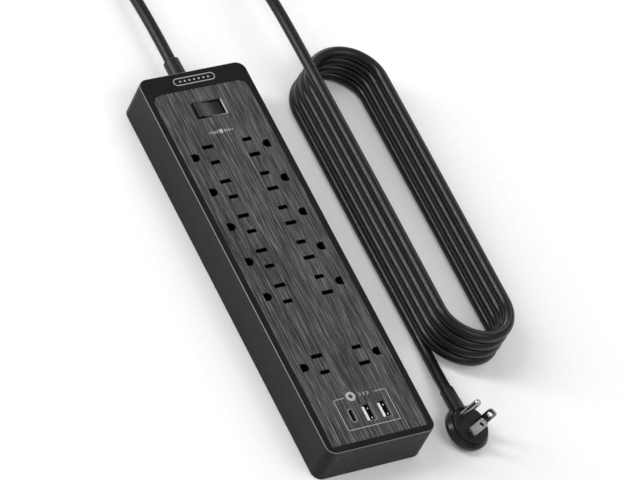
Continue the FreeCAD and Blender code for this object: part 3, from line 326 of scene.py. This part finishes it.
def build_materials():
    brass = (0.62, 0.42, 0.16)
    steel = (0.62, 0.61, 0.60)
    finishes = [
        housing_plastic(),
        brushed_panel(),
        moulded_plastic("base_black", 0.012, rough=(0.42, 0.56), specular=0.35),
        rubber("foot_rubber", 0.02),
        polished_metal("screw_steel", steel),
        moulded_plastic("socket_black", 0.002, rough=(0.4, 0.55), specular=0.08),
        polished_metal("contact_brass", brass),
        moulded_plastic("carrier_black", 0.01, rough=(0.45, 0.6)),
        moulded_plastic("switch_case_black", 0.008, rough=(0.4, 0.55)),
        gloss_rocker(),
        coloured("plunger_white", grey(0.6), grey(0.72)),
        polished_metal("bridge_brass", brass),
        polished_metal("terminal_brass", brass),
        polished_metal("usb_steel", steel, rough=(0.18, 0.3)),
        coloured("usb_tongue_plastic", grey(0.62, 0.02), grey(0.78, 0.02), Specular_IOR_Level=0.5),
        coloured("circuit_board", (0.01, 0.07, 0.02), (0.02, 0.13, 0.04), rough=(0.3, 0.45)),
        coloured("varistor_blue", (0.01, 0.05, 0.25), (0.02, 0.09, 0.36), rough=(0.3, 0.42)),
        coloured("transformer_core", (0.35, 0.26, 0.03), (0.5, 0.38, 0.06)),
        polished_metal("capacitor_can", (0.5, 0.51, 0.53)),
        coloured("wire_black", grey(0.01), grey(0.02)),
        coloured("wire_white", grey(0.6), grey(0.7)),
        coloured("wire_green", (0.01, 0.12, 0.03), (0.02, 0.2, 0.05)),
        cord_jacket("relief_black", 0.009),
        cord_jacket("cord_black", 0.005),
        moulded_plastic("plug_black", 0.004, rough=(0.2, 0.3), specular=0.3),
        moulded_plastic("plug_face_grey", 0.012, rough=(0.38, 0.5), specular=0.16),
        polished_metal("blade_steel", (0.42, 0.41, 0.40), rough=(0.2, 0.32)),
        polished_metal("pin_steel", (0.5, 0.49, 0.47), rough=(0.14, 0.26)),
        printing_ink(),
        # A light grey sheet for the painted highlights on the switch and USB rims.
        coloured("painted_rim_highlight", grey(0.17), grey(0.24), rough=(0.3, 0.4)),
        # Near-black sheet for the painted shade inside the USB-A ports.
        moulded_plastic("painted_shade_black", 0.004, rough=(0.4, 0.55), specular=0.2),
    ]
    return {finish.slot: finish.material for finish in finishes}


def dress_cad_nodes(materials):
    """Give every CAD node the finish of its slot in the record."""
    for entry in frame["record"]["subparts"]:
        mesh = frame["nodes"][entry["node"]].data
        mesh.materials.clear()
        mesh.materials.append(materials[entry["material_slot"]])


# ---------------------------------------------------------------- the cord

# The lead from the strain relief round to the top of the hank, and the tail from the
# hank to the plug, in millimetres.
LEAD_ROUTE = [
    (0.0, 171.8, 15.7), (0.0, 226.0, 15.7), (-3.0, 281.0, 5.4), (14.0, 304.5, 4.0),
    (42.0, 314.0, 4.0), (69.5, 304.0, 4.6), (86.5, 280.5, 7.8), (85.6, 237.0, 23.4),
    (83.9, 196.0, 34.4), (83.8, 157.0, 36.0), (83.8, 119.5, 36.0),
]
TAIL_ROUTE = [
    (79.2, -69.0, 4.0), (79.2, -85.0, 4.0), (77.15, -100.0, 6.384), (76.4, -115.0, 8.4),
]
HANK_RADIUS = 27.4
HANK_LEVEL = 4.0
LAYER_RISE = 8.0
HANK_ACROSS = 106.7
HANK_LEAN = 1.15
HANK_TOP = 118.9
HANK_BOTTOM = -70.9
HANK_BOTTOM_LEAN = 0.6
TOP_LAYER = 4
ARC_ANGLES = [18.0, 54.0, 90.0, 126.0, 162.0]
DESCENT_START = 27.0
LEG_BOW = 0.35
ARC_REACH = HANK_RADIUS / math.cos(math.radians(ARC_ANGLES[0]))
LEG_REACH = HANK_RADIUS * math.tan(math.radians(ARC_ANGLES[0]))


def layer_centre(layer):
    return HANK_ACROSS + HANK_LEAN * layer


def leg_points(layer, side, upward):
    """A straight side of one turn: a point near each arc and a slightly bowed middle."""
    across = layer_centre(layer) + side * HANK_RADIUS
    level = HANK_LEVEL + LAYER_RISE * layer
    low = HANK_BOTTOM + HANK_BOTTOM_LEAN * layer + LEG_REACH
    high = HANK_TOP - LEG_REACH
    bow = LEG_BOW * math.sin(2.1 * layer + side)
    points = [
        (across, low, level),
        (across + bow, low + 0.4 * (high - low), level),
        (across, high, level),
    ]
    return points if upward else points[::-1]


def top_arc(layer):
    """The level half turn at the cord end, from the right side to the left."""
    level = HANK_LEVEL + LAYER_RISE * layer
    points = []
    for angle in ARC_ANGLES:
        turn = math.radians(angle)
        across = layer_centre(layer) + ARC_REACH * math.cos(turn)
        points.append((across, HANK_TOP + ARC_REACH * math.sin(turn), level))
    return points


def bottom_arc(layer):
    """The half turn at the plug end, from the left of one turn down to the right of the next."""
    points = []
    for angle in ARC_ANGLES:
        turn = math.radians(angle)
        share = max(0.0, (angle - DESCENT_START) / (180.0 - DESCENT_START))
        eased = share * share * (3.0 - 2.0 * share)
        centre = layer_centre(layer) - HANK_LEAN * eased
        bottom = HANK_BOTTOM + HANK_BOTTOM_LEAN * (layer - eased)
        level = HANK_LEVEL + LAYER_RISE * (layer - eased)
        across = centre - ARC_REACH * math.cos(turn)
        points.append((across, bottom - ARC_REACH * math.sin(turn), level))
    return points


def hank_points():
    """The hank's turns, from the top strand that the lead runs into down to the lowest."""
    points = leg_points(TOP_LAYER, -1, upward=False)[1:]
    for layer in range(TOP_LAYER, 0, -1):
        points += bottom_arc(layer)
        points += leg_points(layer - 1, 1, upward=True)
        points += top_arc(layer - 1)
        points += leg_points(layer - 1, -1, upward=False)
    return points


def add_cord(materials):
    """The whole cord on one smooth line, from the strip's strain relief to the plug's."""
    route = LEAD_ROUTE + hank_points() + TAIL_ROUTE[1:]
    curve = bpy.data.curves.new("power_cord", "CURVE")
    curve.dimensions = "3D"
    curve.bevel_depth = CORD_DIAMETER / 2.0
    curve.bevel_resolution = 9
    curve.resolution_u = 12
    curve.use_fill_caps = True
    spline = curve.splines.new("NURBS")
    spline.points.add(len(route) - 1)
    for point, place in zip(spline.points, route):
        point.co = (place[0] * MM, place[1] * MM, place[2] * MM, 1.0)
    spline.order_u = 3
    spline.use_endpoint_u = True
    curve.materials.append(materials["cord_black"])
    cord = bpy.data.objects.new("power_cord", curve)
    bpy.context.scene.collection.objects.link(cord)
    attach(cord, "strip")
    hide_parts("cord_lead", "cord_hank", "cord_tail")


# ---------------------------------------------------------------- small pieces


def add_mesh(name, mesh, material):
    """Turn a finished bmesh into an object with one material."""
    data = bpy.data.meshes.new(name)
    mesh.to_mesh(data)
    mesh.free()
    data.materials.append(material)
    piece = bpy.data.objects.new(name, data)
    bpy.context.scene.collection.objects.link(piece)
    return piece


# ---------------------------------------------------------------- printed marks


def flat_piece(name, outlines, level, materials):
    """Thin printed shapes on a level in metres: each outline is a closed list of (x, y) in mm."""
    mesh = bmesh.new()
    for outline in outlines:
        low = [mesh.verts.new((x * MM, y * MM, level)) for x, y in outline]
        high = [mesh.verts.new((x * MM, y * MM, level + PRINT_THICKNESS)) for x, y in outline]
        mesh.faces.new(high)
        mesh.faces.new(low[::-1])
        for index in range(len(outline)):
            after = (index + 1) % len(outline)
            mesh.faces.new((low[index], low[after], high[after], high[index]))
    bmesh.ops.recalc_face_normals(mesh, faces=mesh.faces)
    piece = add_mesh(name, mesh, materials["print_ink"])
    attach(piece, "strip")


def rounded_outline(centre, half, radius, steps=8):
    """Points round a rectangle with rounded corners, anticlockwise."""
    points = []
    corners = ((1, 1, 0), (-1, 1, 90), (-1, -1, 180), (1, -1, 270))
    for sign_x, sign_y, start in corners:
        for step in range(steps + 1):
            turn = math.radians(start + 90.0 * step / steps)
            x = centre[0] + sign_x * (half[0] - radius) + radius * math.cos(turn)
            y = centre[1] + sign_y * (half[1] - radius) + radius * math.sin(turn)
            points.append((x, y))
    return points


def ring_quads(outer, inner):
    """The band between two outlines with the same number of points, as four-sided pieces."""
    count = len(outer)
    return [
        [outer[index], outer[(index + 1) % count], inner[(index + 1) % count], inner[index]]
        for index in range(count)
    ]


def round_outline(centre, radius, steps):
    """Points round a circle."""
    return [
        (
            centre[0] + radius * math.cos(2.0 * math.pi * step / steps),
            centre[1] + radius * math.sin(2.0 * math.pi * step / steps),
        )
        for step in range(steps)
    ]


def bar(centre, half):
    """Outline of a short bar with rounded corners."""
    return rounded_outline(centre, half, min(half) * 0.6, steps=3)


def add_badge(materials):
    """A capsule outline on the bezel by the cord, with a plain row of equal dots."""
    centre = (0.0, 145.0)
    outer = rounded_outline(centre, (15.9, 3.0), 2.9, steps=10)
    inner = rounded_outline(centre, (15.3, 2.4), 2.3, steps=10)
    outlines = ring_quads(outer, inner)
    dot_pitch, dot_radius = 3.6, 0.75
    for place in range(-3, 4):
        outlines.append(round_outline((dot_pitch * place, centre[1]), dot_radius, steps=20))
    flat_piece("badge_print", outlines, BEZEL_TOP, materials)


def add_guard_mark(materials):
    """A small shield between two rows of upright dashes, shorter towards the ends."""
    y = 101.0
    first_dash, dash_pitch, dash_half, shortening = 2.9, 1.45, 1.2, 0.14
    outlines = [[
        (-1.5, y + 1.5), (-1.5, y), (-1.1, y - 1.0), (0.0, y - 1.9), (1.1, y - 1.0),
        (1.5, y), (1.5, y + 1.5), (0.0, y + 1.9),
    ]]
    for side in (-1, 1):
        for step in range(5):
            x = side * (first_dash + dash_pitch * step)
            outlines.append(bar((x, y), (0.3, dash_half - shortening * step)))
    flat_piece("guard_print", outlines, PANEL_TOP, materials)


def add_charging_mark(materials):
    """The line round the USB ports, broken by a broad plain ring and three chevrons."""
    left, right, back, front = -19.8, 19.8, -114.4, -138.2
    gap_left, gap_right, margin = -11.6, 11.4, 0.6
    line = 0.24
    corner = 0.9
    outlines = []
    for x in (left, right):
        outlines.append(bar((x, (back + front) / 2.0), (line, (back - front) / 2.0 - corner)))
    outlines.append(bar(((left + right) / 2.0, front), ((right - left) / 2.0 - corner, line)))
    left_half = (gap_left - left) / 2.0 - margin
    right_half = (right - gap_right) / 2.0 - margin
    outlines.append(bar(((left + gap_left) / 2.0 + margin, back), (left_half, line)))
    outlines.append(bar(((right + gap_right) / 2.0 - margin, back), (right_half, line)))
    for sign_x, x in ((-1, left), (1, right)):
        for sign_y, y in ((-1, front), (1, back)):
            outlines += corner_arc(x - sign_x * corner, y - sign_y * corner, sign_x, sign_y, corner, line)
    mark_along = -114.2
    ring_centre, ring_outer, ring_inner = (-6.5, mark_along), 3.5, 1.5
    outlines += ring_quads(
        round_outline(ring_centre, ring_outer, steps=32), round_outline(ring_centre, ring_inner, steps=32)
    )
    first_chevron, chevron_pitch = 0.6, 2.9
    for step in range(3):
        tip = (first_chevron + chevron_pitch * step, mark_along)
        outlines.append(chevron(tip, width=1.1, height=1.3, weight=0.75))
    flat_piece("charging_print", outlines, PANEL_TOP, materials)


def corner_arc(x, y, sign_x, sign_y, radius, line):
    """A quarter of a thin ring that joins two printed lines."""
    pieces = []
    steps = 5
    for step in range(steps):
        quad = []
        for reach, share in ((radius - line, step), (radius + line, step),
                             (radius + line, step + 1), (radius - line, step + 1)):
            turn = math.pi / 2.0 * share / steps
            quad.append((x + sign_x * reach * math.cos(turn), y + sign_y * reach * math.sin(turn)))
        pieces.append(quad)
    return pieces


def chevron(tip, width, height, weight):
    """A small arrowhead that points to the right."""
    x, y = tip
    return [
        (x - width, y + height), (x - width + weight, y + height), (x + weight, y),
        (x - width + weight, y - height), (x - width, y - height), (x, y),
    ]


# ---------------------------------------------------------------- switch and USB ports: painted highlights and shade


def shell_piece(name, quads, materials, slot, thickness=0.05):
    """Thin sheet of four-sided patches, given in mm, that rides on the strip."""
    mesh = bmesh.new()
    for quad in quads:
        mesh.faces.new([mesh.verts.new([part * MM for part in corner]) for corner in quad])
    bmesh.ops.remove_doubles(mesh, verts=mesh.verts, dist=0.00001)
    bmesh.ops.recalc_face_normals(mesh, faces=mesh.faces)
    piece = add_mesh(name, mesh, materials[slot])
    solid = piece.modifiers.new("thickness", "SOLIDIFY")
    solid.thickness = thickness * MM
    solid.offset = 0.0
    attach(piece, "strip")


def add_switch_highlight(materials):
    """Painted highlight on the bevel right of the switch, and on the edge along its front that thins to
    the left.
    """
    half_x, half_y, bevel, line, end = 11.1, 6.25, 0.8, 0.7, 0.1
    front_left = -1.0
    low = SHEET_LEVEL - bevel
    front, back = SWITCH_ALONG - half_y, SWITCH_ALONG + half_y - bevel
    right_side = [
        (half_x, front, low),
        (half_x + bevel, front, SHEET_LEVEL),
        (half_x + bevel, back, SHEET_LEVEL),
        (half_x, back, low),
    ]
    front_side = [
        (front_left, front, SHEET_LEVEL),
        (half_x + bevel, front, SHEET_LEVEL),
        (half_x + bevel, front - line, SHEET_LEVEL),
        (front_left, front - end, SHEET_LEVEL),
    ]
    shell_piece("switch_highlight", [right_side, front_side], materials, "painted_rim_highlight")


def add_usb_highlights(materials):
    """Painted highlights on the folded metal edges that show round the ports: all of USB-C, the right half
    of USB-A.
    """
    edge = 0.5
    usb_a = ((3.3, 6.7), 0.7)
    usb_c = ((1.7, 4.85), 1.6)
    for place, across, (half, radius) in (
        ("c", -USB_PITCH, usb_c), ("middle", 0.0, usb_a), ("right", USB_PITCH, usb_a)
    ):
        inner = rounded_outline((across, USB_ALONG), half, radius)
        outer = rounded_outline((across, USB_ALONG), (half[0] + edge, half[1] + edge), radius + edge)
        quads = [[(x, y, SHEET_LEVEL) for x, y in quad] for quad in ring_quads(outer, inner)]
        # On each USB-A port only the lit right half of the edge gets the painted highlight.
        if place != "c":
            quads = [quad for quad in quads if min(point[0] for point in quad) > across + edge]
        shell_piece("usb_highlight_" + place, quads, materials, "painted_rim_highlight")


def add_usb_shade_and_springs(materials):
    """A dark sheet of painted shade, on the floor and right wall, and two sprung contacts beside the
    tongue of each USB-A port.
    """
    floor_level, wall_top, contact_shift = 27.6, 30.2, 1.7
    front, back = USB_ALONG - 5.9, USB_ALONG + 5.9
    for place, across in (("middle", 0.0), ("right", USB_PITCH)):
        left, right = across - 0.1, across + 2.6
        # Painted shade: a near-black sheet on the floor and right wall of the port, where shade falls.
        shade_floor = [
            (left, front, floor_level), (right, front, floor_level),
            (right, back, floor_level), (left, back, floor_level),
        ]
        wall = [
            (right, front, floor_level), (right, back, floor_level),
            (right, back, wall_top), (right, front, wall_top),
        ]
        shell_piece("usb_painted_shade_" + place, [shade_floor, wall], materials, "painted_shade_black", 0.1)
        for number, shift in enumerate((-3.9, 3.3)):
            name = "usb_spring_%s_%d" % (place, number)
            add_contact(name, across + contact_shift, USB_ALONG + shift, materials)


def add_contact(name, across, along, materials):
    """A domed sprung contact, about a millimetre wide."""
    radius, level, lengthening = 0.55, 29.6, 1.5
    mesh = bmesh.new()
    bmesh.ops.create_uvsphere(mesh, u_segments=16, v_segments=10, radius=radius * MM)
    for vertex in mesh.verts:
        vertex.co.y *= lengthening
    for face in mesh.faces:
        face.smooth = True
    contact = add_mesh(name, mesh, materials["usb_steel"])
    contact.location = (across * MM, along * MM, level * MM)
    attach(contact, "strip")


# ---------------------------------------------------------------- floor


def add_floor():
    """A wide pale floor, far larger than the view, just below the feet."""
    finish = coloured("floor_paint", grey(0.88), grey(0.9), rough=(0.7, 0.8), Specular_IOR_Level=0.2)
    mesh = bmesh.new()
    bmesh.ops.create_grid(mesh, x_segments=8, y_segments=8, size=6.0)
    floor = add_mesh("floor", mesh, finish.material)
    floor.location = (0.0, 0.0, -0.2 * MM)


add_camera()
add_studio()
all_materials = build_materials()
dress_cad_nodes(all_materials)
add_cord(all_materials)
add_badge(all_materials)
add_guard_mark(all_materials)
add_charging_mark(all_materials)
add_switch_highlight(all_materials)
add_usb_highlights(all_materials)
add_usb_shade_and_springs(all_materials)
add_floor()
